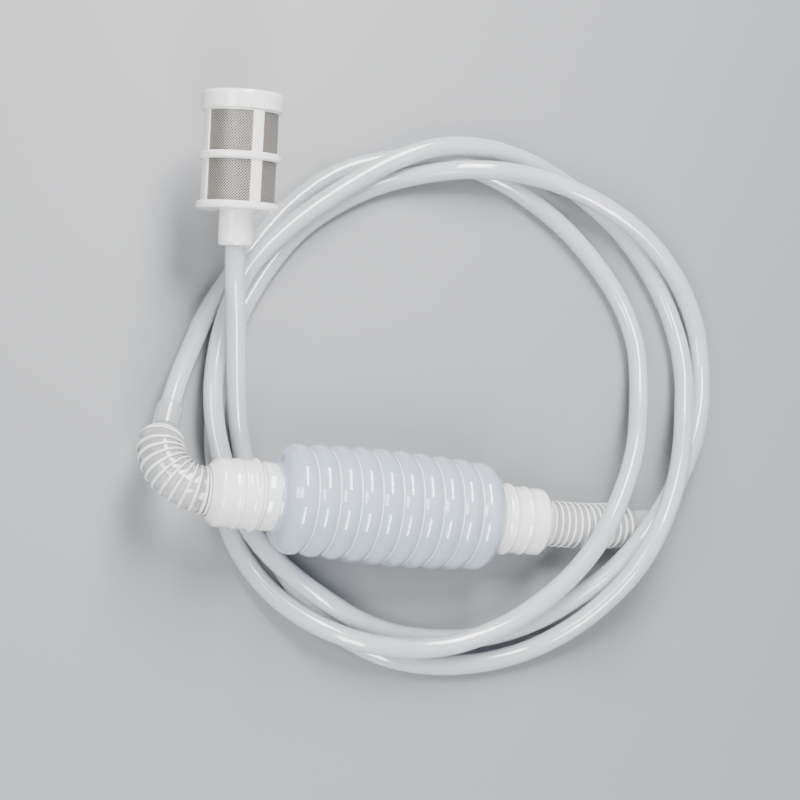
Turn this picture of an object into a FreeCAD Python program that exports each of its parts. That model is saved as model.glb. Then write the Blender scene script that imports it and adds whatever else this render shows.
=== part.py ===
import FreeCAD
import Part
import math
import os

# Squeeze-bulb siphon pump with a coiled transfer hose and an intake strainer.
# All sizes are in millimetres. The working frame has its origin on the floor under
# the centre of the bulb, with +X along the pump and +Z up. At the end every node
# is moved so that the pump's bounding box is centred on the origin.

V = FreeCAD.Vector

# Squeeze bulb
WALL = 1.1
RIB_COUNT = 10
RIB_PITCH = 8.48
RIB_R_END = 21.4
RIB_R_MID = 22.8
GROOVE_DEPTH = 1.5
SHELL_END = 44.6
SPOUT_R = 13.3
SPOUT_BORE_R = 12.15
INLET_SPOUT_END = 52.0
OUTLET_SPOUT_END = 48.3

# Necks, at their places on the inlet side; the outlet's parts sit closer to the bulb
OUTLET_CLOSER = INLET_SPOUT_END - OUTLET_SPOUT_END
PLUG_R = 12.1
PLUG_START = 44.5
NECK_R = 13.4
BODY_START = INLET_SPOUT_END + 0.05
NECK_SHOULDER = 69.0
NECK_END = 73.0
NECK_TIP_R = 10.4
BEADS = [(54.7, 14.4, 1.4), (61.7, 13.9, 0.9)]
NECK_BORE_R = 9.0
PIPE_SOCKET_R = 9.5
PIPE_SOCKET_START = 62.0

# Check valves
SEAT_R = 8.95
SEAT_HOLE_R = 4.0
SEAT_T = 2.0
DISC_R = 6.2
DISC_T = 1.0
VALVE_GAP = 0.05
CAGE_BORE_R = 7.4
CAGE_L = 5.0
LIFT = 1.5
BAR = 1.0

# Corrugated pipes and cuffs
PIPE_R = 8.5
PIPE_BORE_R = 7.3
RIDGE_R = 8.85
RIDGE_ROUND = 0.55
RIDGE_PITCH = 2.8
PIPE_START = 63.0
ELBOW_START = 73.2
ELBOW_R = 16.5
ELBOW_TURN = 104.0
ELBOW_DROP = 20.0
OUTLET_BEND_START = 78.0
OUTLET_BEND_R = 105.0
OUTLET_TURN = 14.7
OUTLET_DROP = 38.0
SHOULDER_L = 4.5
SHOULDER_R = 6.9
CUFF_R = 5.1
INLET_CUFF_L = 12.0
OUTLET_CUFF_L = 9.0
CUFF_BORE_R = 4.05
CUFF_BORE_L = 10.0

# Pose of the pump on the floor
TILT = 7.0

# Hose
HOSE_R = 4.0
HOSE_INSERT = 9.8
HOSE_LEAD = 9.0

# Strainer
FILTER_START = V(-65.7, 96.6, 39.0)
FILTER_LEAN = 14.6
FILTER_YAW = 2.0
SPIGOT_R = 6.9
SPIGOT_L = 13.9
FLANGE_R = 16.3
FLANGE_T = 2.9
WINDOW_1 = 16.1
RING_T = 3.0
WINDOW_2 = 16.3
CAP_R = 16.0
CAP_L = 7.4
CAP_T = 2.2
SKIRT_BORE_R = 15.15
TOP_RING_R = 15.05
RIB_R = 15.1
RIB_W = 4.5
MESH_R = 14.4
MESH_BORE_R = 14.0
MESH_SEAT_R = 14.45
RIB_ANGLE = 16.8

# Hose route, strand by strand, from the elbow cuff to the strainer.
FIRST_RETURN = [
    V(-77, 62, 12), V(-71, 78, 6), V(-61, 95, 4), V(-49.5, 113, 4), V(-37, 129, 4),
    V(-18, 145, 4), V(6, 153, 4)]
OUTER_TOP = [V(23, 155, 4), V(42, 152, 4), V(63, 143, 4), V(85, 127, 4), V(104, 104, 4)]
OVER_PIPE = [
    V(112, 83, 6), V(112, 65, 10), V(109, 47, 17), V(106, 34, 22.5), V(101.5, 21, 26.5),
    V(95.5, 7, 28.5), V(89, -7, 27.5), V(80, -20, 23), V(69, -31, 18), V(51, -44, 14.5),
    V(26, -53, 13), V(2, -53, 13)]
INNER_LEFT = [
    V(-19, -48, 12.5), V(-37, -37, 7.5), V(-50, -23, 4), V(-59, -7, 4), V(-64, 13, 4),
    V(-66, 35, 4), V(-63, 59, 4), V(-57, 80, 4)]
UNDER_TOP = [
    V(-46.5, 100, 4), V(-34.5, 117, 4), V(-19, 130, 4), V(0, 141, 4), V(20, 146.5, 8.5),
    V(38, 149, 12.5), V(60, 149, 13.5), V(84, 144, 13.5)]
OVER_CUFF = [
    V(110, 131, 13), V(128, 113, 10.5), V(139, 93, 6.5), V(142, 72, 4.5), V(140.5, 54, 6.5),
    V(135, 38, 11.5), V(127, 23, 17), V(118, 9, 21), V(107.5, -6, 22), V(97.5, -18, 17.5),
    V(84, -29, 10.5)]
NEAR_PUMP = [
    V(66, -40, 5), V(45, -46.5, 4), V(25, -48, 4), V(8, -46.5, 5), V(-7, -42, 8.5),
    V(-20, -35.5, 12)]
ON_LEFT = [
    V(-32, -28, 12.5), V(-43, -19, 12.3), V(-51.5, -9, 12.3), V(-58, 3, 12.3),
    V(-63, 17, 12.3), V(-67, 33, 12.3), V(-68, 50, 12.5), V(-66, 67, 12.5),
    V(-61.5, 84, 12.5)]
ON_TOP = [
    V(-55, 98, 12.5), V(-45, 110, 12.5), V(-34, 121, 12.5), V(-18, 134, 12.5),
    V(2, 148, 12.5), V(21, 157, 12.5), V(40, 160.5, 9.5), V(60, 159, 6), V(82, 150, 4)]
HIGH_RIGHT = [
    V(107, 131, 4), V(123, 108, 4), V(131, 87, 5), V(132.5, 68, 9), V(130, 52, 14.5),
    V(127, 37, 20.5), V(122.5, 22, 26.5), V(117, 8, 30.5), V(110.5, -7, 30.5),
    V(103.5, -19.5, 26), V(94, -31, 18.5), V(82, -41.5, 10.5)]
OUTER_NEAR = [
    V(66, -50.5, 5), V(46, -56.5, 4), V(25, -58.5, 4), V(6, -56, 4), V(-11, -48.5, 4)]
LAST_LEFT = [V(-25, -37.5, 4), V(-36, -23, 4), V(-44, -8, 4), V(-50, 8, 4), V(-54, 23, 5)]
TO_STRAINER = [
    V(-57, 36, 9), V(-59, 49, 15.5), V(-61, 62, 23.5), V(-63, 75, 30.5)]
STRANDS = [
    FIRST_RETURN, OUTER_TOP, OVER_PIPE, INNER_LEFT, UNDER_TOP, OVER_CUFF, NEAR_PUMP,
    ON_LEFT, ON_TOP, HIGH_RIGHT, OUTER_NEAR, LAST_LEFT, TO_STRAINER]


def line(a, b):
    return Part.LineSegment(a, b).toShape()


def arc(a, b, c):
    return Part.Arc(a, b, c).toShape()


def turned(edges, axis=V(1, 0, 0)):
    """Solid made by turning a closed profile about an axis through the origin."""
    face = Part.Face(Part.Wire(Part.__sortEdges__(edges)))
    return face.revolve(V(0, 0, 0), axis, 360)


def turned_x(points):
    """Solid of revolution about X from (s, r) corners."""
    corners = [V(s, 0, r) for s, r in points]
    corners.append(corners[0])
    return turned([line(a, b) for a, b in zip(corners, corners[1:])])


def turned_z(points):
    """Solid of revolution about Z from (z, r) corners."""
    corners = [V(r, 0, s) for s, r in points]
    corners.append(corners[0])
    return turned([line(a, b) for a, b in zip(corners, corners[1:])], V(0, 0, 1))


def ring_x(start, end, outer, bore):
    return turned_x([(start, bore), (start, outer), (end, outer), (end, bore)])


def crest_radius(s):
    half = RIB_PITCH * (RIB_COUNT - 1) / 2.0
    return RIB_R_MID - (RIB_R_MID - RIB_R_END) * (s / half) ** 2


def groove_radius(s):
    return crest_radius(min(abs(s), RIB_PITCH * (RIB_COUNT - 1) / 2.0)) - GROOVE_DEPTH


def end_profile(sign, mouth):
    """Outer and inner edges from the last groove to the mouth of one spout."""
    def p(s, r):
        return V(sign * s, 0, r)
    groove = RIB_PITCH * RIB_COUNT / 2.0
    top = groove_radius(groove)
    outer = [
        arc(p(groove, top), p(43.9, 18.2), p(SHELL_END, 15.6)),
        arc(p(SHELL_END, 15.6), p(44.9, 14.1), p(46.0, SPOUT_R)),
        line(p(46.0, SPOUT_R), p(mouth, SPOUT_R))]
    inner = [
        line(p(mouth, SPOUT_R), p(mouth, SPOUT_BORE_R)),
        line(p(mouth, SPOUT_BORE_R), p(44.8, SPOUT_BORE_R)),
        arc(p(44.8, SPOUT_BORE_R), p(43.9, 13.2), p(43.5, 14.8)),
        arc(p(43.5, 14.8), p(43.25, 16.9), p(groove, top - WALL))]
    return outer + inner


def make_bulb():
    edges = []
    for k in range(RIB_COUNT):
        mid = (k - (RIB_COUNT - 1) / 2.0) * RIB_PITCH
        low = mid - RIB_PITCH / 2.0
        high = mid + RIB_PITCH / 2.0
        for inset in (0.0, WALL):
            a = V(low, 0, groove_radius(low) - inset)
            b = V(mid, 0, crest_radius(mid) - inset)
            c = V(high, 0, groove_radius(high) - inset)
            edges.append(arc(a, b, c))
    edges += end_profile(1, OUTLET_SPOUT_END)
    edges += end_profile(-1, INLET_SPOUT_END)
    return turned(edges)


def make_neck():
    """Neck for the +X end. Its plug sits inside the spout of the bulb."""
    neck = turned_x([
        (PLUG_START, NECK_BORE_R), (PLUG_START, PLUG_R - 0.8), (PLUG_START + 0.8, PLUG_R),
        (BODY_START, PLUG_R), (BODY_START, NECK_R - 0.4),
        (BODY_START + 0.4, NECK_R), (NECK_SHOULDER, NECK_R),
        (NECK_SHOULDER + 0.9, NECK_R - 0.4), (NECK_END - 0.9, NECK_TIP_R + 0.6),
        (NECK_END, NECK_TIP_R), (NECK_END, PIPE_SOCKET_R),
        (PIPE_SOCKET_START, PIPE_SOCKET_R), (PIPE_SOCKET_START, NECK_BORE_R)])
    for s, crown, thick in BEADS:
        bead = Part.makeTorus(crown - thick, thick, V(s, 0, 0), V(1, 0, 0))
        neck = neck.fuse(bead)
    socket = ring_x(PIPE_SOCKET_START, NECK_END + 1, PIPE_SOCKET_R, 1)
    bore = ring_x(PLUG_START - 1, PIPE_SOCKET_START + 1, NECK_BORE_R, 1)
    core = turned_x([(PLUG_START - 1, 0), (PLUG_START - 1, 1.5), (NECK_END + 1, 1.5), (NECK_END + 1, 0)])
    return neck.cut(socket).cut(bore).cut(core)


def make_valve(seat_start):
    """Seat, disc and cage of a check valve that opens towards +X."""
    seat = ring_x(seat_start, seat_start + SEAT_T, SEAT_R, SEAT_HOLE_R)
    face = seat_start + SEAT_T
    disc = Part.makeCylinder(DISC_R, DISC_T, V(face + VALVE_GAP, 0, 0), V(1, 0, 0))
    cage = ring_x(face, face + CAGE_L, SEAT_R, CAGE_BORE_R)
    stop = face + VALVE_GAP + DISC_T + LIFT + 0.1
    reach = (SEAT_R + CAGE_BORE_R) / 2.0
    for across in (0, 1):
        size = (BAR, BAR if across else 2 * reach, 2 * reach if across else BAR)
        bar = Part.makeBox(*size)
        bar.translate(V(stop, -size[1] / 2.0, -size[2] / 2.0))
        cage = cage.fuse(bar)
    return seat, disc, cage.removeSplitter()


def along_bend(distance, radius, turn):
    """Point and heading on a path that runs along X to zero and then bends towards +Y."""
    if distance <= 0:
        return V(distance, 0, 0), V(1, 0, 0)
    angle = min(distance / radius, math.radians(turn))
    point = V(radius * math.sin(angle), radius * (1 - math.cos(angle)), 0)
    heading = V(math.cos(angle), math.sin(angle), 0)
    rest = distance - radius * angle
    return point + heading * rest, heading


def make_pipe(lead, radius, turn, bead_start):
    """Corrugated pipe on the local path, from -lead to the end of the bend."""
    section = Part.Face([
        Part.Wire(Part.makeCircle(PIPE_R, V(0, 0, 0), V(1, 0, 0))),
        Part.Wire(Part.makeCircle(PIPE_BORE_R, V(0, 0, 0), V(1, 0, 0)))])
    section.validate()
    straight = section.extrude(V(-lead, 0, 0))
    bend = section.revolve(V(0, radius, 0), V(0, 0, 1), turn)
    pipe = straight.fuse(bend)
    end = radius * math.radians(turn)
    ridges = []
    distance = bead_start
    while distance < end - 0.9:
        point, heading = along_bend(distance, radius, turn)
        ring = Part.makeTorus(RIDGE_R, RIDGE_ROUND, point, heading)
        ridges.append(ring)
        distance += RIDGE_PITCH
    return pipe.multiFuse(ridges).removeSplitter()


def make_cuff(length):
    """Shoulder and hose cuff along +X, open at the far end."""
    mouth = SHOULDER_L + length
    floor = mouth - CUFF_BORE_L
    web = SHOULDER_L - 2.2
    return turned_x([
        (0, PIPE_BORE_R), (0, PIPE_R), (SHOULDER_L - 1.4, SHOULDER_R),
        (SHOULDER_L, CUFF_R), (mouth - 0.5, CUFF_R), (mouth, CUFF_R - 0.5),
        (mouth, CUFF_BORE_R), (floor, CUFF_BORE_R), (floor, 3.0), (web, 3.0),
        (web, SHOULDER_R - 1.3)])


def frame_at(origin, x_axis, y_axis):
    return FreeCAD.Placement(origin, FreeCAD.Rotation(x_axis, y_axis, x_axis.cross(y_axis), "XYZ"))


def moved(shape, placement):
    copy = shape.copy()
    copy.Placement = placement.multiply(copy.Placement)
    return copy


def bend_frame(start, sign, drop):
    side = V(0, math.cos(math.radians(drop)), -math.sin(math.radians(drop)))
    return frame_at(V(sign * start, 0, 0), V(sign, 0, 0), side)


def cuff_frame(radius, turn):
    """Local placement of a cuff on the end of a bend."""
    point, heading = along_bend(radius * math.radians(turn), radius, turn)
    return frame_at(point, heading, V(0, 0, 1).cross(heading))


def make_filter():
    """Frame, cap and mesh of the strainer along +Z, with the spigot's mouth at zero."""
    flange = SPIGOT_L
    deck = flange + FLANGE_T
    ring = deck + WINDOW_1
    upper = ring + RING_T
    top = upper + WINDOW_2
    end = top + CAP_L
    frame = turned_z([
        (0, CUFF_BORE_R), (0, SPIGOT_R - 1.2), (0.35, SPIGOT_R - 0.4), (1.2, SPIGOT_R),
        (flange, SPIGOT_R), (flange, FLANGE_R - 0.9), (flange + 0.3, FLANGE_R - 0.3),
        (flange + 0.9, FLANGE_R), (deck - 0.6, FLANGE_R), (deck, FLANGE_R - 0.6),
        (deck, 3.0), (12.0, 3.0), (12.0, CUFF_BORE_R)])
    middle = turned_z([
        (ring, MESH_SEAT_R), (ring, FLANGE_R - 0.7), (ring + 0.7, FLANGE_R),
        (upper - 0.7, FLANGE_R), (upper, FLANGE_R - 0.7), (upper, MESH_SEAT_R)])
    rim = turned_z([
        (top - 0.6, MESH_SEAT_R), (top - 0.6, TOP_RING_R), (end - CAP_T - 0.1, TOP_RING_R),
        (end - CAP_T - 0.1, MESH_SEAT_R)])
    frame = frame.fuse(middle).fuse(rim)
    sleeve = turned_z([(deck - 0.2, MESH_SEAT_R), (deck - 0.2, RIB_R), (top, RIB_R), (top, MESH_SEAT_R)])
    for k in range(4):
        rib = Part.makeBox(RIB_R + 2, RIB_W, top - deck + 0.2)
        rib.translate(V(0, -RIB_W / 2.0, deck - 0.2))
        rib.rotate(V(0, 0, 0), V(0, 0, 1), RIB_ANGLE + 90 * k)
        frame = frame.fuse(rib.common(sleeve))
    cap = turned_z([
        (top, SKIRT_BORE_R), (top, CAP_R - 0.4), (top + 0.4, CAP_R), (end - 1.3, CAP_R),
        (end - 0.4, CAP_R - 0.4), (end, CAP_R - 1.3), (end, 0), (end - CAP_T, 0),
        (end - CAP_T, SKIRT_BORE_R)])
    mesh = turned_z([
        (deck + 0.05, MESH_BORE_R), (deck + 0.05, MESH_R), (end - CAP_T - 0.1, MESH_R),
        (end - CAP_T - 0.1, MESH_BORE_R)])
    return frame.removeSplitter(), cap, mesh


def rounded_wire(points):
    """Straight runs joined by tangent arcs, with the wire's smallest bend radius."""
    edges = []
    start = points[0]
    smallest = 1e9
    for before, corner, after in zip(points, points[1:], points[2:]):
        into = corner - before
        out = after - corner
        reach = 0.45 * min(into.Length, out.Length)
        into.normalize()
        out.normalize()
        half = into.getAngle(out) / 2.0
        radius = reach / math.tan(half)
        smallest = min(smallest, radius)
        enter = corner - into * reach
        leave = corner + out * reach
        bisector = out - into
        bisector.normalize()
        middle = corner + bisector * (radius / math.cos(half) - radius)
        edges.append(line(start, enter))
        edges.append(arc(enter, middle, leave))
        start = leave
    edges.append(line(start, points[-1]))
    return Part.Wire(edges), smallest


def make_hose(points):
    path, smallest = rounded_wire(points)
    heading = points[1] - points[0]
    section = Part.Wire(Part.makeCircle(HOSE_R, points[0], heading))
    solid = path.makePipeShell([section], True, False)
    print("hose length %.1f, smallest radius %.1f" % (path.Length, smallest))
    print("hose volume %.1f, expected %.1f" % (solid.Volume, path.Length * math.pi * HOSE_R ** 2))
    return solid


# Pump, coaxial on X
bulb = make_bulb()
outlet_neck = make_neck()
outlet_neck.translate(V(-OUTLET_CLOSER, 0, 0))
inlet_neck = make_neck()
inlet_neck.rotate(V(0, 0, 0), V(0, 0, 1), 180)
outlet_valve = make_valve(54.0 - OUTLET_CLOSER)
inlet_valve = make_valve(-61.0)
pump = {"squeeze_bulb": bulb, "inlet_neck": inlet_neck, "outlet_neck": outlet_neck}
for name, shapes in (("inlet", inlet_valve), ("outlet", outlet_valve)):
    for part, shape in zip(("seat", "disc", "cage"), shapes):
        pump[name + "_valve_" + part] = shape

# Pipes and cuffs
elbow_frame = bend_frame(ELBOW_START, -1, ELBOW_DROP)
elbow_pipe = make_pipe(ELBOW_START - PIPE_START, ELBOW_R, ELBOW_TURN, 1.4)
elbow_cuff = moved(make_cuff(INLET_CUFF_L), cuff_frame(ELBOW_R, ELBOW_TURN))
pump["inlet_pipe"] = moved(elbow_pipe.fuse(elbow_cuff).removeSplitter(), elbow_frame)
outlet_frame = bend_frame(OUTLET_BEND_START, 1, OUTLET_DROP)
outlet_lead = OUTLET_BEND_START - PIPE_START + OUTLET_CLOSER
outlet_pipe = make_pipe(outlet_lead, OUTLET_BEND_R, OUTLET_TURN, -7.8)
outlet_cuff_frame = outlet_frame.multiply(cuff_frame(OUTLET_BEND_R, OUTLET_TURN))
pump["outlet_pipe"] = moved(outlet_pipe, outlet_frame)
pump["outlet_cuff"] = moved(make_cuff(OUTLET_CUFF_L), outlet_cuff_frame)

# Lay the pump down: tilted, with its lowest point on the floor
lean = FreeCAD.Placement(V(0, 0, 0), FreeCAD.Rotation(V(0, 1, 0), TILT))
nodes = {}
for name, shape in pump.items():
    nodes[name] = moved(shape, lean)
lift = -min(shape.optimalBoundingBox(False).ZMin for shape in nodes.values())
stand = FreeCAD.Placement(V(0, 0, lift), FreeCAD.Rotation())
for name in nodes:
    nodes[name] = moved(nodes[name], stand)
pose = stand.multiply(lean)

# Strainer
filter_pose = FreeCAD.Placement(FILTER_START, FreeCAD.Rotation(V(0, 0, 1), FILTER_YAW))
upright = FreeCAD.Placement(V(0, 0, 0), FreeCAD.Rotation(V(1, 0, 0), FILTER_LEAN - 90))
filter_pose = filter_pose.multiply(upright)
for name, shape in zip(("filter_frame", "filter_cap", "filter_mesh"), make_filter()):
    nodes[name] = moved(shape, filter_pose)

# Hose
elbow_exit = pose.multiply(elbow_frame).multiply(cuff_frame(ELBOW_R, ELBOW_TURN))
mouth = elbow_exit.multVec(V(SHOULDER_L + INLET_CUFF_L, 0, 0))
heading = elbow_exit.Rotation.multVec(V(1, 0, 0))
filter_axis = filter_pose.Rotation.multVec(V(0, 0, 1))
route = [mouth - heading * HOSE_INSERT, mouth + heading * HOSE_LEAD]
for strand in STRANDS:
    route += strand
route += [FILTER_START - filter_axis * HOSE_LEAD, FILTER_START + filter_axis * 11.8]
nodes["hose"] = make_hose(route)

# Centre the pump on the origin
CORD = ("hose", "filter_frame", "filter_cap", "filter_mesh")
box = FreeCAD.BoundBox()
for name, shape in nodes.items():
    if name not in CORD:
        box.add(shape.optimalBoundingBox(False))
shift = V(-box.Center.x, -box.Center.y, -box.ZMin)
recentre = FreeCAD.Placement(shift, FreeCAD.Rotation())
socket = recentre.multiply(pose).multiply(outlet_cuff_frame)
axis = pose.Rotation.multVec(V(1, 0, 0))
print("lift %.3f" % lift, "shift", [round(c, 3) for c in shift])
print("slide axis", [round(c, 6) for c in axis])
print("socket mouth", [round(c, 4) for c in socket.multVec(V(SHOULDER_L + OUTLET_CUFF_L, 0, 0))])
print("socket axis", [round(c, 6) for c in socket.Rotation.multVec(V(1, 0, 0))])
print("elbow mouth", [round(c, 3) for c in mouth], [round(c, 4) for c in heading])

os.makedirs("parts", exist_ok=True)
for name, shape in nodes.items():
    placed = moved(shape, recentre)
    if placed.ShapeType != "Solid" and len(placed.Solids) == 1:
        placed = placed.Solids[0]
    print(name, placed.ShapeType, placed.isValid(), round(placed.Volume, 1))
    placed.exportStep("parts/" + name + ".step")
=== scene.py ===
import math

import bmesh
import bpy
from mathutils import Matrix, Vector


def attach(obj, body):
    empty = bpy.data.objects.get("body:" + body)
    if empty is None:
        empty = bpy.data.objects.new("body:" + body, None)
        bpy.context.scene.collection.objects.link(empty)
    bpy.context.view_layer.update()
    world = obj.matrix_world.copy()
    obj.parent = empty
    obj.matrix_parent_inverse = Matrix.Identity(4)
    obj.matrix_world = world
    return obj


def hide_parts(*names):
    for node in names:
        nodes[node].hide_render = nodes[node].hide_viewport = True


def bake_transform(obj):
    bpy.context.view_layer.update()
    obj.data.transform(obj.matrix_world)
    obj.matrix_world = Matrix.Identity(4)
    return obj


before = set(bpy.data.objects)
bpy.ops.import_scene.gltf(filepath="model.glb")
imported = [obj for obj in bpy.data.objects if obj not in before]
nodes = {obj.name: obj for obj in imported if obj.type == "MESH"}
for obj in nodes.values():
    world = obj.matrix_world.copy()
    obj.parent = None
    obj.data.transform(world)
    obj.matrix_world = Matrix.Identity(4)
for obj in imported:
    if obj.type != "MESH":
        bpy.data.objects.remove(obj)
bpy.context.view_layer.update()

# The pump lies tilted. part.py draws it about the point on the floor under the bulb's
# centre, and then moves the finished part. BULB_CENTRE is where that leaves the centre.
BULB_CENTRE = Vector((-0.009367, -0.006703, 0.025923))
FLOOR_POINT = Vector((BULB_CENTRE.x, BULB_CENTRE.y, 0))
TILT = math.radians(7.0)
PUMP_AXIS = Vector((math.cos(TILT), 0, -math.sin(TILT)))
PUMP_SIDE = Vector((0, 1, 0))
PUMP_UP = PUMP_AXIS.cross(PUMP_SIDE)
MM = 0.001

# Hose route in metres from the floor under the bulb's centre, as in the part file
ELBOW_MOUTH = Vector((-0.086104, 0.0343, 0.023918))
ELBOW_HEADING = Vector((0.1997, 0.9118, -0.3589)).normalized()
STRAINER_START = Vector((-0.0657, 0.0966, 0.039))
STRAINER_LEAN = math.radians(14.6)
STRAINER_YAW = math.radians(2.0)
FIRST_RETURN = [
    (-0.077, 0.062, 0.012), (-0.071, 0.078, 0.006), (-0.061, 0.095, 0.004), (-0.0495, 0.113, 0.004),
    (-0.037, 0.129, 0.004), (-0.018, 0.145, 0.004), (0.006, 0.153, 0.004)]
OUTER_TOP = [
    (0.023, 0.155, 0.004), (0.042, 0.152, 0.004), (0.063, 0.143, 0.004), (0.085, 0.127, 0.004),
    (0.104, 0.104, 0.004)]
OVER_PIPE = [
    (0.112, 0.083, 0.006), (0.112, 0.065, 0.01), (0.109, 0.047, 0.017), (0.106, 0.034, 0.0225),
    (0.1015, 0.021, 0.0265), (0.0955, 0.007, 0.0285), (0.089, -0.007, 0.0275), (0.08, -0.02, 0.023),
    (0.069, -0.031, 0.018), (0.051, -0.044, 0.0145), (0.026, -0.053, 0.013), (0.002, -0.053, 0.013)]
INNER_LEFT = [
    (-0.019, -0.048, 0.0125), (-0.037, -0.037, 0.0075), (-0.05, -0.023, 0.004),
    (-0.059, -0.007, 0.004), (-0.064, 0.013, 0.004), (-0.066, 0.035, 0.004), (-0.063, 0.059, 0.004),
    (-0.057, 0.08, 0.004)]
UNDER_TOP = [
    (-0.0465, 0.1, 0.004), (-0.0345, 0.117, 0.004), (-0.019, 0.13, 0.004), (0, 0.141, 0.004),
    (0.02, 0.1465, 0.0085), (0.038, 0.149, 0.0125), (0.06, 0.149, 0.0135), (0.084, 0.144, 0.0135)]
OVER_CUFF = [
    (0.11, 0.131, 0.013), (0.128, 0.113, 0.0105), (0.139, 0.093, 0.0065), (0.142, 0.072, 0.0045),
    (0.1405, 0.054, 0.0065), (0.135, 0.038, 0.0115), (0.127, 0.023, 0.017), (0.118, 0.009, 0.021),
    (0.1075, -0.006, 0.022), (0.0975, -0.018, 0.0175), (0.084, -0.029, 0.0105)]
NEAR_PUMP = [
    (0.066, -0.04, 0.005), (0.045, -0.0465, 0.004), (0.025, -0.048, 0.004), (0.008, -0.0465, 0.005),
    (-0.007, -0.042, 0.0085), (-0.02, -0.0355, 0.012)]
ON_LEFT = [
    (-0.032, -0.028, 0.0125), (-0.043, -0.019, 0.0123), (-0.0515, -0.009, 0.0123),
    (-0.058, 0.003, 0.0123), (-0.063, 0.017, 0.0123), (-0.067, 0.033, 0.0123),
    (-0.068, 0.05, 0.0125), (-0.066, 0.067, 0.0125), (-0.0615, 0.084, 0.0125)]
ON_TOP = [
    (-0.055, 0.098, 0.0125), (-0.045, 0.11, 0.0125), (-0.034, 0.121, 0.0125),
    (-0.018, 0.134, 0.0125), (0.002, 0.148, 0.0125), (0.021, 0.157, 0.0125), (0.04, 0.1605, 0.0095),
    (0.06, 0.159, 0.006), (0.082, 0.15, 0.004)]
HIGH_RIGHT = [
    (0.107, 0.131, 0.004), (0.123, 0.108, 0.004), (0.131, 0.087, 0.005), (0.1325, 0.068, 0.009),
    (0.13, 0.052, 0.0145), (0.127, 0.037, 0.0205), (0.1225, 0.022, 0.0265), (0.117, 0.008, 0.0305),
    (0.1105, -0.007, 0.0305), (0.1035, -0.0195, 0.026), (0.094, -0.031, 0.0185),
    (0.082, -0.0415, 0.0105)]
OUTER_NEAR = [
    (0.066, -0.0505, 0.005), (0.046, -0.0565, 0.004), (0.025, -0.0585, 0.004),
    (0.006, -0.056, 0.004), (-0.011, -0.0485, 0.004)]
LAST_LEFT = [
    (-0.025, -0.0375, 0.004), (-0.036, -0.023, 0.004), (-0.044, -0.008, 0.004),
    (-0.05, 0.008, 0.004), (-0.054, 0.023, 0.005)]
TO_STRAINER = [
    (-0.057, 0.036, 0.009), (-0.059, 0.049, 0.0155), (-0.061, 0.062, 0.0235),
    (-0.063, 0.075, 0.0305)]
STRANDS = [
    FIRST_RETURN, OUTER_TOP, OVER_PIPE, INNER_LEFT, UNDER_TOP, OVER_CUFF, NEAR_PUMP,
    ON_LEFT, ON_TOP, HIGH_RIGHT, OUTER_NEAR, LAST_LEFT, TO_STRAINER]
HOSE_R = 4.0 * MM
HOSE_BORE_R = 3.0 * MM

STRAINER_AXIS = Vector((
    -math.cos(STRAINER_LEAN) * math.sin(STRAINER_YAW),
    math.cos(STRAINER_LEAN) * math.cos(STRAINER_YAW),
    math.sin(STRAINER_LEAN)))


# ---------------------------------------------------------------- mesh helpers

def swept(name, loops, place, around=96):
    """Closed tubes. Each loop is a closed run of (distance, radius); place gives a frame."""
    verts, faces, uvs = [], [], []
    for stations in loops:
        first = len(verts)
        for distance, radius in stations:
            point, side, up = place(distance)
            for k in range(around):
                angle = 2 * math.pi * k / around
                verts.append(point + side * (radius * math.cos(angle)) + up * (radius * math.sin(angle)))
        count = len(stations)
        run = [0.0]
        for a, b in zip(stations, stations[1:] + stations[:1]):
            run.append(run[-1] + math.hypot(b[0] - a[0], b[1] - a[1]))
        girth = 2 * math.pi * max(r for _, r in stations)
        for i in range(count):
            here, there = first + i * around, first + (i + 1) % count * around
            for k in range(around):
                m = (k + 1) % around
                faces.append((here + k, here + m, there + m, there + k))
                left, right = girth * k / around, girth * (k + 1) / around
                uvs += [(left, run[i]), (right, run[i]), (right, run[i + 1]), (left, run[i + 1])]
    mesh = bpy.data.meshes.new(name)
    mesh.from_pydata(verts, [], faces)
    layer = mesh.uv_layers.new(name="surface_m")
    for loop, uv in zip(layer.data, uvs):
        loop.uv = uv
    work = bmesh.new()
    work.from_mesh(mesh)
    bmesh.ops.recalc_face_normals(work, faces=work.faces)
    work.to_mesh(mesh)
    work.free()
    mesh.shade_smooth()
    mesh.set_sharp_from_angle(angle=math.radians(50))
    piece = bpy.data.objects.new(name, mesh)
    bpy.context.scene.collection.objects.link(piece)
    return piece


def ring_loop(s, r, thick, steps):
    """Round closed loop of (distance, radius) in metres about one place on a wall."""
    turns = [2 * math.pi * k / steps for k in range(steps)]
    return [((s + thick * math.cos(turn)) * MM, (r + thick * math.sin(turn)) * MM) for turn in turns]


def along_pump(distance):
    return BULB_CENTRE + PUMP_AXIS * distance, PUMP_SIDE, PUMP_UP


def bend_place(start, sign, radius, turn, drop):
    """Frames on a pipe that leaves the pump's axis, runs straight and then bends."""
    side = PUMP_SIDE * math.cos(drop) - PUMP_UP * math.sin(drop)
    out = PUMP_AXIS * sign
    binormal = out.cross(side)

    def place(distance):
        angle = min(max(distance, 0.0) / radius, turn)
        rest = distance - radius * angle
        point = BULB_CENTRE + out * (start + radius * math.sin(angle))
        point = point + side * (radius * (1 - math.cos(angle)))
        heading = out * math.cos(angle) + side * math.sin(angle)
        return point + heading * rest, heading.cross(binormal) * -1, binormal
    return place


# ---------------------------------------------------------------- materials

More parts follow.
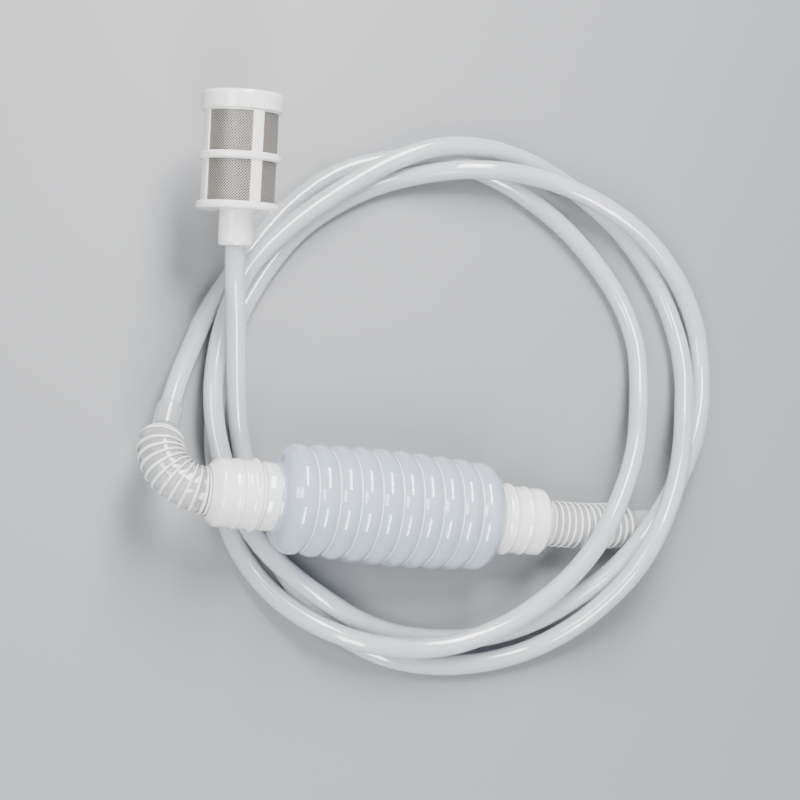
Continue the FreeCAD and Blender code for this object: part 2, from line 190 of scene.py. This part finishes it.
def plastic(name, colour, roughness, transmission=0.0, subsurface=0.0, coat=0.0, ior=1.46,
            tint=0.04, ripple=0.15, ripple_scale=60.0, grain=900.0):
    """Moulded plastic: slow colour drift, soft surface ripple and a fine grain."""
    material = bpy.data.materials.new(name)
    material.use_nodes = True
    tree = material.node_tree
    shader = tree.nodes["Principled BSDF"]
    shader.inputs["Transmission Weight"].default_value = transmission
    shader.inputs["Subsurface Weight"].default_value = subsurface
    shader.inputs["Subsurface Scale"].default_value = 0.003
    shader.inputs["Subsurface Radius"].default_value = (1.0, 1.0, 1.0)
    shader.inputs["Coat Weight"].default_value = coat
    shader.inputs["Coat Roughness"].default_value = 0.04
    shader.inputs["IOR"].default_value = ior
    where = tree.nodes.new("ShaderNodeTexCoord")
    drift = tree.nodes.new("ShaderNodeTexNoise")
    drift.inputs["Scale"].default_value = 35.0
    drift.inputs["Detail"].default_value = 3.0
    tree.links.new(where.outputs["Object"], drift.inputs["Vector"])
    shade = tree.nodes.new("ShaderNodeValToRGB")
    shade.color_ramp.elements[0].position = 0.3
    shade.color_ramp.elements[1].position = 0.7
    shade.color_ramp.elements[0].color = [max(c - tint, 0) for c in colour] + [1]
    shade.color_ramp.elements[1].color = [min(c + tint, 1) for c in colour] + [1]
    tree.links.new(drift.outputs["Fac"], shade.inputs["Fac"])
    tree.links.new(shade.outputs["Color"], shader.inputs["Base Color"])
    rough = tree.nodes.new("ShaderNodeMapRange")
    rough.inputs["To Min"].default_value = roughness * 0.8
    rough.inputs["To Max"].default_value = roughness * 1.25
    tree.links.new(drift.outputs["Fac"], rough.inputs["Value"])
    tree.links.new(rough.outputs["Result"], shader.inputs["Roughness"])
    wave = tree.nodes.new("ShaderNodeTexNoise")
    wave.inputs["Scale"].default_value = ripple_scale
    fine = tree.nodes.new("ShaderNodeTexNoise")
    fine.inputs["Scale"].default_value = grain
    tree.links.new(where.outputs["Object"], wave.inputs["Vector"])
    tree.links.new(where.outputs["Object"], fine.inputs["Vector"])
    low = tree.nodes.new("ShaderNodeBump")
    low.inputs["Strength"].default_value = ripple
    low.inputs["Distance"].default_value = 0.0006
    high = tree.nodes.new("ShaderNodeBump")
    high.inputs["Strength"].default_value = 0.08
    high.inputs["Distance"].default_value = 0.00006
    tree.links.new(wave.outputs["Fac"], low.inputs["Height"])
    tree.links.new(fine.outputs["Fac"], high.inputs["Height"])
    tree.links.new(low.outputs["Normal"], high.inputs["Normal"])
    tree.links.new(high.outputs["Normal"], shader.inputs["Normal"])
    return material


def woven_steel(name, pitch=0.8 * MM):
    """Woven wire on the bias: two crossing sets of threads with holes between them. The holes are painted
    shade, a near-black sheet that is nearly opaque. The threads' crowns carry a painted highlight.
    """
    material = bpy.data.materials.new(name)
    material.use_nodes = True
    tree = material.node_tree
    new, link = tree.nodes.new, tree.links.new
    shader = tree.nodes["Principled BSDF"]
    shader.inputs["Metallic"].default_value = 0.35
    shader.inputs["Roughness"].default_value = 0.35
    uv = new("ShaderNodeUVMap")
    uv.uv_map = "surface_m"
    split = new("ShaderNodeSeparateXYZ")
    link(uv.outputs["UV"], split.inputs["Vector"])

    def maths(kind, a, b=None):
        node = new("ShaderNodeMath")
        node.operation = kind
        for socket, value in zip(node.inputs, (a, b)):
            if value is None:
                continue
            if isinstance(value, (int, float)):
                socket.default_value = value
            else:
                link(value, socket)
        return node.outputs["Value"]

    threads = []
    for kind in ("ADD", "SUBTRACT"):
        across = maths(kind, split.outputs["X"], split.outputs["Y"])
        phase = maths("MULTIPLY", across, math.pi / (pitch * math.sqrt(2)))
        threads.append(maths("ABSOLUTE", maths("SINE", phase)))
    height = maths("MAXIMUM", threads[0], maths("MULTIPLY", threads[1], 0.93))
    solid = maths("GREATER_THAN", height, 0.86)
    # Holes stay nearly opaque and take the near-black end of the ramp: painted shade where the strainer's
    # inside would show through.
    opacity = maths("ADD", maths("MULTIPLY", solid, 0.12), 0.88)
    # Colour follows thread height: painted highlight on the thread crowns, painted shade at their sides and
    # in the holes.
    painted_highlight_and_shade = maths("MULTIPLY", solid, maths("POWER", height, 3.0))
    shade = new("ShaderNodeValToRGB")
    # Near-black is the painted shade in the holes; the grey is the wire at its painted highlight.
    shade.color_ramp.elements[0].color = (0.015, 0.012, 0.01, 1)
    shade.color_ramp.elements[1].color = (0.44, 0.41, 0.375, 1)
    link(painted_highlight_and_shade, shade.inputs["Fac"])
    link(shade.outputs["Color"], shader.inputs["Base Color"])
    link(opacity, shader.inputs["Alpha"])
    bump = new("ShaderNodeBump")
    bump.inputs["Strength"].default_value = 0.8
    bump.inputs["Distance"].default_value = 0.00015
    link(height, bump.inputs["Height"])
    link(bump.outputs["Normal"], shader.inputs["Normal"])
    return material


BULB = plastic("bulb_vinyl_milky", (0.79, 0.88, 0.985), 0.10, 0.62, 0.0, 1.0, 1.42, 0.012, 0.22, 70)
SPOUT = plastic("bulb_vinyl_thick", (0.90, 0.925, 0.955), 0.12, 0.22, 0.15, 1.0, 1.42, 0.012, 0.35, 120)
NECK = plastic("neck_pearl", (0.87, 0.86, 0.835), 0.13, 0.05, 0.30, 1.0, 1.50, 0.03, 0.7, 150)
PIPE = plastic("pipe_clear", (0.955, 0.965, 0.975), 0.09, 0.80, 0.0, 0.6, 1.38, 0.01, 0.3, 160)
RIDGE = plastic("pipe_ridge_milky", (0.95, 0.955, 0.96), 0.15, 0.30, 0.0, 0.8, 1.42, 0.02, 0.2, 160)
HOSE = plastic("hose_clear_milky", (0.93, 0.955, 0.99), 0.11, 0.66, 0.0, 0.8, 1.42, 0.012, 0.2, 60)
FILTER = plastic("strainer_nylon", (0.90, 0.89, 0.865), 0.25, 0.05, 0.30, 0.5, 1.48, 0.02, 0.4, 120)
VALVE = plastic("valve_white", (0.88, 0.87, 0.84), 0.40, 0.0, 0.2)
DISC = plastic("disc_grey_rubber", (0.42, 0.42, 0.42), 0.60)
MESH = woven_steel("woven_steel")


def finish_node(name, material):
    node = nodes[name]
    node.data.materials.clear()
    node.data.materials.append(material)


for end in ("inlet", "outlet"):
    finish_node(end + "_valve_seat", VALVE)
    finish_node(end + "_valve_cage", VALVE)
    finish_node(end + "_valve_disc", DISC)
finish_node("outlet_cuff", PIPE)
finish_node("filter_frame", FILTER)
finish_node("filter_cap", FILTER)


def stand_in(piece, material, node, body="pump"):
    piece.data.materials.append(material)
    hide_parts(node)
    if body:
        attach(piece, body)
    return piece


# ---------------------------------------------------------------- squeeze bulb

RIB_COUNT = 10
RIB_PITCH = 8.48
RIB_R_END, RIB_R_MID = 21.4, 22.8
GROOVE = 1.9
BULB_WALL = 1.1
RIB_STEPS = 14
LINE_ROUND = 0.36


def crest(s):
    half = RIB_PITCH * (RIB_COUNT - 1) / 2
    return RIB_R_MID - (RIB_R_MID - RIB_R_END) * (min(abs(s), half) / half) ** 2


def bulb_ribs(inset):
    """(distance, radius) in millimetres over the ribs: broad crowns and narrow grooves."""
    points = []
    for k in range(RIB_COUNT):
        middle = (k - (RIB_COUNT - 1) / 2) * RIB_PITCH
        for step in range(RIB_STEPS):
            t = -1 + 2 * step / RIB_STEPS
            s = middle + t * RIB_PITCH / 2
            points.append((s, crest(s) - GROOVE * abs(t) ** 2.2 - inset))
    end = RIB_COUNT * RIB_PITCH / 2
    points.append((end, crest(end) - GROOVE - inset))
    return points


def curve_through(points, steps=6):
    """Catmull-Rom points between the first and last of the given (s, r) pairs."""
    spots = []
    padded = [points[0]] + list(points) + [points[-1]]
    for a, b, c, d in zip(padded, padded[1:], padded[2:], padded[3:]):
        for k in range(steps):
            t = k / steps
            spots.append(tuple(
                0.5 * (2 * q + (r - p) * t + (2 * p - 5 * q + 4 * r - s) * t * t
                       + (3 * q - p - 3 * r + s) * t ** 3)
                for p, q, r, s in zip(a, b, c, d)))
    return spots + [points[-1]]


SPOUT_R = 13.3
INLET_MOUTH, OUTLET_MOUTH = 52.0, 48.3
OUTER_END = curve_through([
    (42.9, 19.3), (43.6, 18.6), (44.25, 17.3), (44.6, 15.6), (44.8, 14.5), (45.4, 13.6), (46.2, SPOUT_R),
    (46.6, SPOUT_R)])
INNER_END = curve_through([
    (46.6, 12.15), (44.9, 12.2), (44.0, 12.9), (43.55, 14.5), (43.2, 16.4), (42.8, 17.7)])


def make_bulb():
    outer = [(-s, r) for s, r in reversed(OUTER_END)] + bulb_ribs(0.0) + OUTER_END
    inner = [(s, r) for s, r in INNER_END] + list(reversed(bulb_ribs(BULB_WALL)))
    inner += [(-s, r) for s, r in reversed(INNER_END)]
    loop = [(s * MM, r * MM) for s, r in outer + inner]
    return swept("bulb_skin", [loop], along_pump, 144)


def make_spouts(ends):
    """The bulb's two tubular ends, milkier because the neck's plug fills them."""
    loops = []
    for sign, mouth in ends:
        loops.append([
            (sign * s * MM, r * MM) for s, r in (
                (46.62, 12.2), (46.62, 13.28), (48.0, SPOUT_R), (mouth - 0.3, SPOUT_R), (mouth, 13.1),
                (mouth, 12.4), (mouth - 0.2, 12.15))])
    return swept("bulb_spouts", loops, along_pump, 128)


def groove_lines():
    """Fine milky lines in the bottoms of the grooves, where the vinyl is thickest."""
    half = RIB_COUNT // 2
    grooves = [k * RIB_PITCH for k in range(1 - half, half)]
    loops = [ring_loop(s, crest(s) - GROOVE + 0.06, LINE_ROUND, 8) for s in grooves]
    return swept("bulb_groove_lines", loops, along_pump, 144)


stand_in(make_bulb(), BULB, "squeeze_bulb")
stand_in(make_spouts([(-1, INLET_MOUTH), (1, OUTLET_MOUTH)]), SPOUT, "squeeze_bulb")
stand_in(groove_lines(), SPOUT, "squeeze_bulb")


# ---------------------------------------------------------------- necks

NECK_SHAPE = [
    (52.1, 12.9), (52.5, 13.25), (53.4, 13.35), (56.8, 13.35), (60.0, 13.3), (63.4, 13.3), (66.5, 13.4),
    (68.8, 13.4), (69.5, 13.15), (70.4, 12.35), (71.5, 11.2), (72.4, 10.3), (72.9, 9.8)]
BEADS = [(54.7, 1.05, 0.95), (61.7, 0.55, 0.75), (59.6, 0.14, 0.3), (58.3, 0.12, 0.3), (64.3, -0.14, 0.3)]


def make_neck(name, sign, closer):
    """Pearly neck with soft beads and mould steps, around the valve and the pipe's end."""
    outside = []
    for s, r in curve_through(NECK_SHAPE, 8):
        for bead, height, width in BEADS:
            r += height * math.exp(-((s - bead) / width) ** 2)
        outside.append((s, r))
    inside = [(72.6, 9.45), (62.0, 9.45), (61.9, 9.0), (44.6, 9.0)]
    plug = [(44.5, 9.3), (44.5, 11.3), (45.3, 12.08), (52.0, 12.08), (52.06, 12.4)]
    loop = [(sign * (s - closer) * MM, r * MM) for s, r in plug + outside + inside]
    return swept(name, [loop], along_pump, 128)


stand_in(make_neck("inlet_neck_pearl", -1, 0.0), NECK, "inlet_neck")
stand_in(make_neck("outlet_neck_pearl", 1, INLET_MOUTH - OUTLET_MOUTH), NECK, "outlet_neck")


# ---------------------------------------------------------------- corrugated pipes

RIDGE_PITCH = 2.8
PIPE_OUTER, PIPE_INNER = 8.45, 7.45
PLUG_R = 9.3
LAST_GAP = 0.9
RING_R, RING_ROUND = 8.93, 0.46
RING_STEPS = 12


def wave(first, last, base, height):
    """(distance, radius) in millimetres along a wall that swells a little at each ridge."""
    points = []
    s = first
    while s < last:
        half = base + 0.5 * height
        points += [(s - 1.0, base), (s - 0.5, half), (s, base + height), (s + 0.5, half)]
        s += RIDGE_PITCH
    return points


def pipe_loop(lead, plug_end, first, end, tail):
    """Wall of a pipe whose plain end fills the neck's socket as far as plug_end."""
    valley, bore = PIPE_OUTER - 0.15, PIPE_INNER - 0.15
    outer = [(-lead, PLUG_R), (plug_end - 0.2, PLUG_R), (plug_end, PLUG_R - 0.2)]
    outer += wave(first, end - LAST_GAP, valley, 0.1) + tail
    inner = [(-lead, bore)] + wave(first, end - LAST_GAP, bore, 0.1)
    loop = outer + list(reversed(inner))
    return [(s * MM, r * MM) for s, r in loop]


def ridge_rings(first, end, extra=()):
    """One round loop for each ridge of the corrugation, then any (distance, radius) more."""
    rings = []
    s = first
    while s < end - LAST_GAP:
        rings.append((s, RING_R))
        s += RIDGE_PITCH
    rings += extra
    return [ring_loop(s, r, RING_ROUND, RING_STEPS) for s, r in rings]


ELBOW_START, ELBOW_R, ELBOW_TURN = 73.2, 16.5, math.radians(104.0)
ELBOW_LEAD, ELBOW_FIRST = 10.2, 1.4
ELBOW_END = ELBOW_R * ELBOW_TURN
elbow_tail = [(ELBOW_END + s, r) for s, r in curve_through([
    (0.2, 8.1), (0.9, 7.8), (1.9, 7.1), (3.0, 6.3), (4.1, 5.5), (5.0, 5.15), (7.0, 5.05),
    (12.0, 5.1), (15.8, 5.1)], 4)]
elbow_tail += [(ELBOW_END + s, r) for s, r in (
    (16.3, 4.95), (16.5, 4.6), (16.45, 4.15), (16.3, 4.05), (6.5, 4.05), (6.3, 3.1), (3.0, 3.3), (1.6, 5.6),
    (0.2, 7.0))]
elbow_place = bend_place(ELBOW_START * MM, -1, ELBOW_R * MM, ELBOW_TURN, math.radians(20))
elbow_loop = pipe_loop(ELBOW_LEAD, 0.1, ELBOW_FIRST, ELBOW_END, elbow_tail)
elbow = swept("inlet_bellows", [elbow_loop], elbow_place, 96)
stand_in(elbow, PIPE, "inlet_pipe")
ELBOW_EXTRA = [(0.1, RING_R), (ELBOW_END + 0.7, 8.35), (ELBOW_END + 2.5, 7.1)]
elbow_rings = swept("inlet_ridges", ridge_rings(ELBOW_FIRST, ELBOW_END, ELBOW_EXTRA), elbow_place, 96)
stand_in(elbow_rings, RIDGE, "inlet_pipe")

OUTLET_START, OUTLET_R, OUTLET_TURN = 78.0, 105.0, math.radians(14.7)
OUTLET_LEAD, OUTLET_PLUG, OUTLET_FIRST = 18.7, -9.0, -7.8
OUTLET_END = OUTLET_R * OUTLET_TURN
outlet_place = bend_place(OUTLET_START * MM, 1, OUTLET_R * MM, OUTLET_TURN, math.radians(38))
outlet_tail = [(OUTLET_END, PIPE_OUTER), (OUTLET_END, PIPE_INNER)]
outlet_loop = pipe_loop(OUTLET_LEAD, OUTLET_PLUG, OUTLET_FIRST, OUTLET_END, outlet_tail)
outlet = swept("outlet_bellows", [outlet_loop], outlet_place, 96)
outlet_rings = swept("outlet_ridges", ridge_rings(OUTLET_FIRST, OUTLET_END), outlet_place, 96)
for piece, material in ((outlet, PIPE), (outlet_rings, RIDGE)):
    stand_in(piece, material, "outlet_pipe", body=None)
    tuple(outlet_place(0.0)[0])
    tuple(outlet_place((OUTLET_END - 2) * MM)[0])
    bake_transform(piece)


# ---------------------------------------------------------------- hose

def hose_line():
    """The route's own smooth line, read from a NURBS spline with the route's points."""
    route = [ELBOW_MOUTH - ELBOW_HEADING * 0.0098, ELBOW_MOUTH + ELBOW_HEADING * 0.009]
    for strand in STRANDS:
        route += [Vector(point) for point in strand]
    route += [STRAINER_START - STRAINER_AXIS * 0.009, STRAINER_START + STRAINER_AXIS * 0.0118]
    curve = bpy.data.curves.new("hose_route", "CURVE")
    curve.dimensions = "3D"
    spline = curve.splines.new("NURBS")
    spline.points.add(len(route) - 1)
    for knot, point in zip(spline.points, route):
        knot.co = (*(point + FLOOR_POINT), 1)
    spline.order_u = 3
    spline.use_endpoint_u = True
    curve.resolution_u = 10
    holder = bpy.data.objects.new("hose_route", curve)
    bpy.context.scene.collection.objects.link(holder)
    bpy.context.view_layer.update()
    mesh = bpy.data.meshes.new_from_object(holder.evaluated_get(bpy.context.evaluated_depsgraph_get()))
    points = [v.co.copy() for v in mesh.vertices]
    bpy.data.objects.remove(holder)
    bpy.data.meshes.remove(mesh)
    return points


line = hose_line()
frames = []
side = Vector((0, 0, 1))
for i, point in enumerate(line):
    tangent = (line[min(i + 1, len(line) - 1)] - line[max(i - 1, 0)]).normalized()
    side = (side - tangent * side.dot(tangent)).normalized()
    frames.append((point, side.copy(), tangent.cross(side)))
last = len(line) - 1
hose_loop = [(i, HOSE_R) for i in range(last + 1)] + [(i, HOSE_BORE_R) for i in range(last, -1, -1)]
hose = swept("clear_hose", [hose_loop], lambda i: frames[i], 40)
stand_in(hose, HOSE, "hose")


# ---------------------------------------------------------------- strainer mesh

STRAINER_SIDE = STRAINER_AXIS.cross(Vector((0, 0, 1))).normalized()
STRAINER_UP = STRAINER_SIDE.cross(STRAINER_AXIS)
MESH_START, MESH_END = 16.9 * MM, 57.2 * MM
MESH_R, MESH_BORE_R = 14.4 * MM, 14.1 * MM


def along_strainer(distance):
    return FLOOR_POINT + STRAINER_START + STRAINER_AXIS * distance, STRAINER_SIDE, STRAINER_UP


mesh_tube = swept(
    "strainer_mesh",
    [[(MESH_START, MESH_BORE_R), (MESH_START, MESH_R), (MESH_END, MESH_R), (MESH_END, MESH_BORE_R)]],
    along_strainer, 128)
stand_in(mesh_tube, MESH, "filter_mesh")


# ---------------------------------------------------------------- floor, light and camera

def floor_material():
    material = bpy.data.materials.new("pale_floor")
    material.use_nodes = True
    shader = material.node_tree.nodes["Principled BSDF"]
    shader.inputs["Base Color"].default_value = (0.215, 0.22, 0.23, 1)
    shader.inputs["Roughness"].default_value = 0.45
    return material


floor_mesh = bpy.data.meshes.new("floor")
floor_mesh.from_pydata([(-3, -3, 0), (3, -3, 0), (3, 3, 0), (-3, 3, 0)], [], [(0, 1, 2, 3)])
floor_mesh.materials.append(floor_material())
floor = bpy.data.objects.new("floor", floor_mesh)
bpy.context.scene.collection.objects.link(floor)


def area_light(name, place, target, size, power, colour=(1, 1, 1)):
    light = bpy.data.lights.new(name, "AREA")
    light.shape = "RECTANGLE"
    light.size, light.size_y = size
    light.energy = power
    light.color = colour
    holder = bpy.data.objects.new(name, light)
    holder.location = place
    direction = Vector(target) - Vector(place)
    holder.rotation_euler = direction.to_track_quat("-Z", "Y").to_euler()
    bpy.context.scene.collection.objects.link(holder)


area_light("back_softbox", (0.05, 0.62, 0.80), (0, 0.03, 0), (0.26, 0.80), 26.0)
area_light("front_softbox", (-0.08, -0.62, 0.70), (0, 0.0, 0), (0.22, 0.60), 14.0)
area_light("top_fill", (-0.75, 0.1, 0.95), (0, 0.05, 0), (0.4, 0.4), 8.0)
world = bpy.data.worlds.new("studio")
bpy.context.scene.world = world
world.use_nodes = True
world.node_tree.nodes["Background"].inputs["Color"].default_value = (0.86, 0.89, 0.93, 1)
world.node_tree.nodes["Background"].inputs["Strength"].default_value = 0.34

CAMERA_SPOT = Vector((-0.1980, -0.1559, 0.830))
CAMERA_RIGHT = Vector((0.9680, 0.0217, 0.2499))
CAMERA_UP = Vector((-0.0791, 0.9720, 0.2214))
CAMERA_BACK = Vector((-0.2380, -0.2341, 0.9426))
lens = bpy.data.cameras.new("camera")
lens.lens = 96.75
lens.sensor_width = 36.0
camera = bpy.data.objects.new("camera", lens)
pose = Matrix((CAMERA_RIGHT, CAMERA_UP, CAMERA_BACK)).transposed().to_4x4()
pose.translation = FLOOR_POINT + CAMERA_SPOT
camera.matrix_world = pose
bpy.context.scene.collection.objects.link(camera)
bpy.context.scene.camera = camera
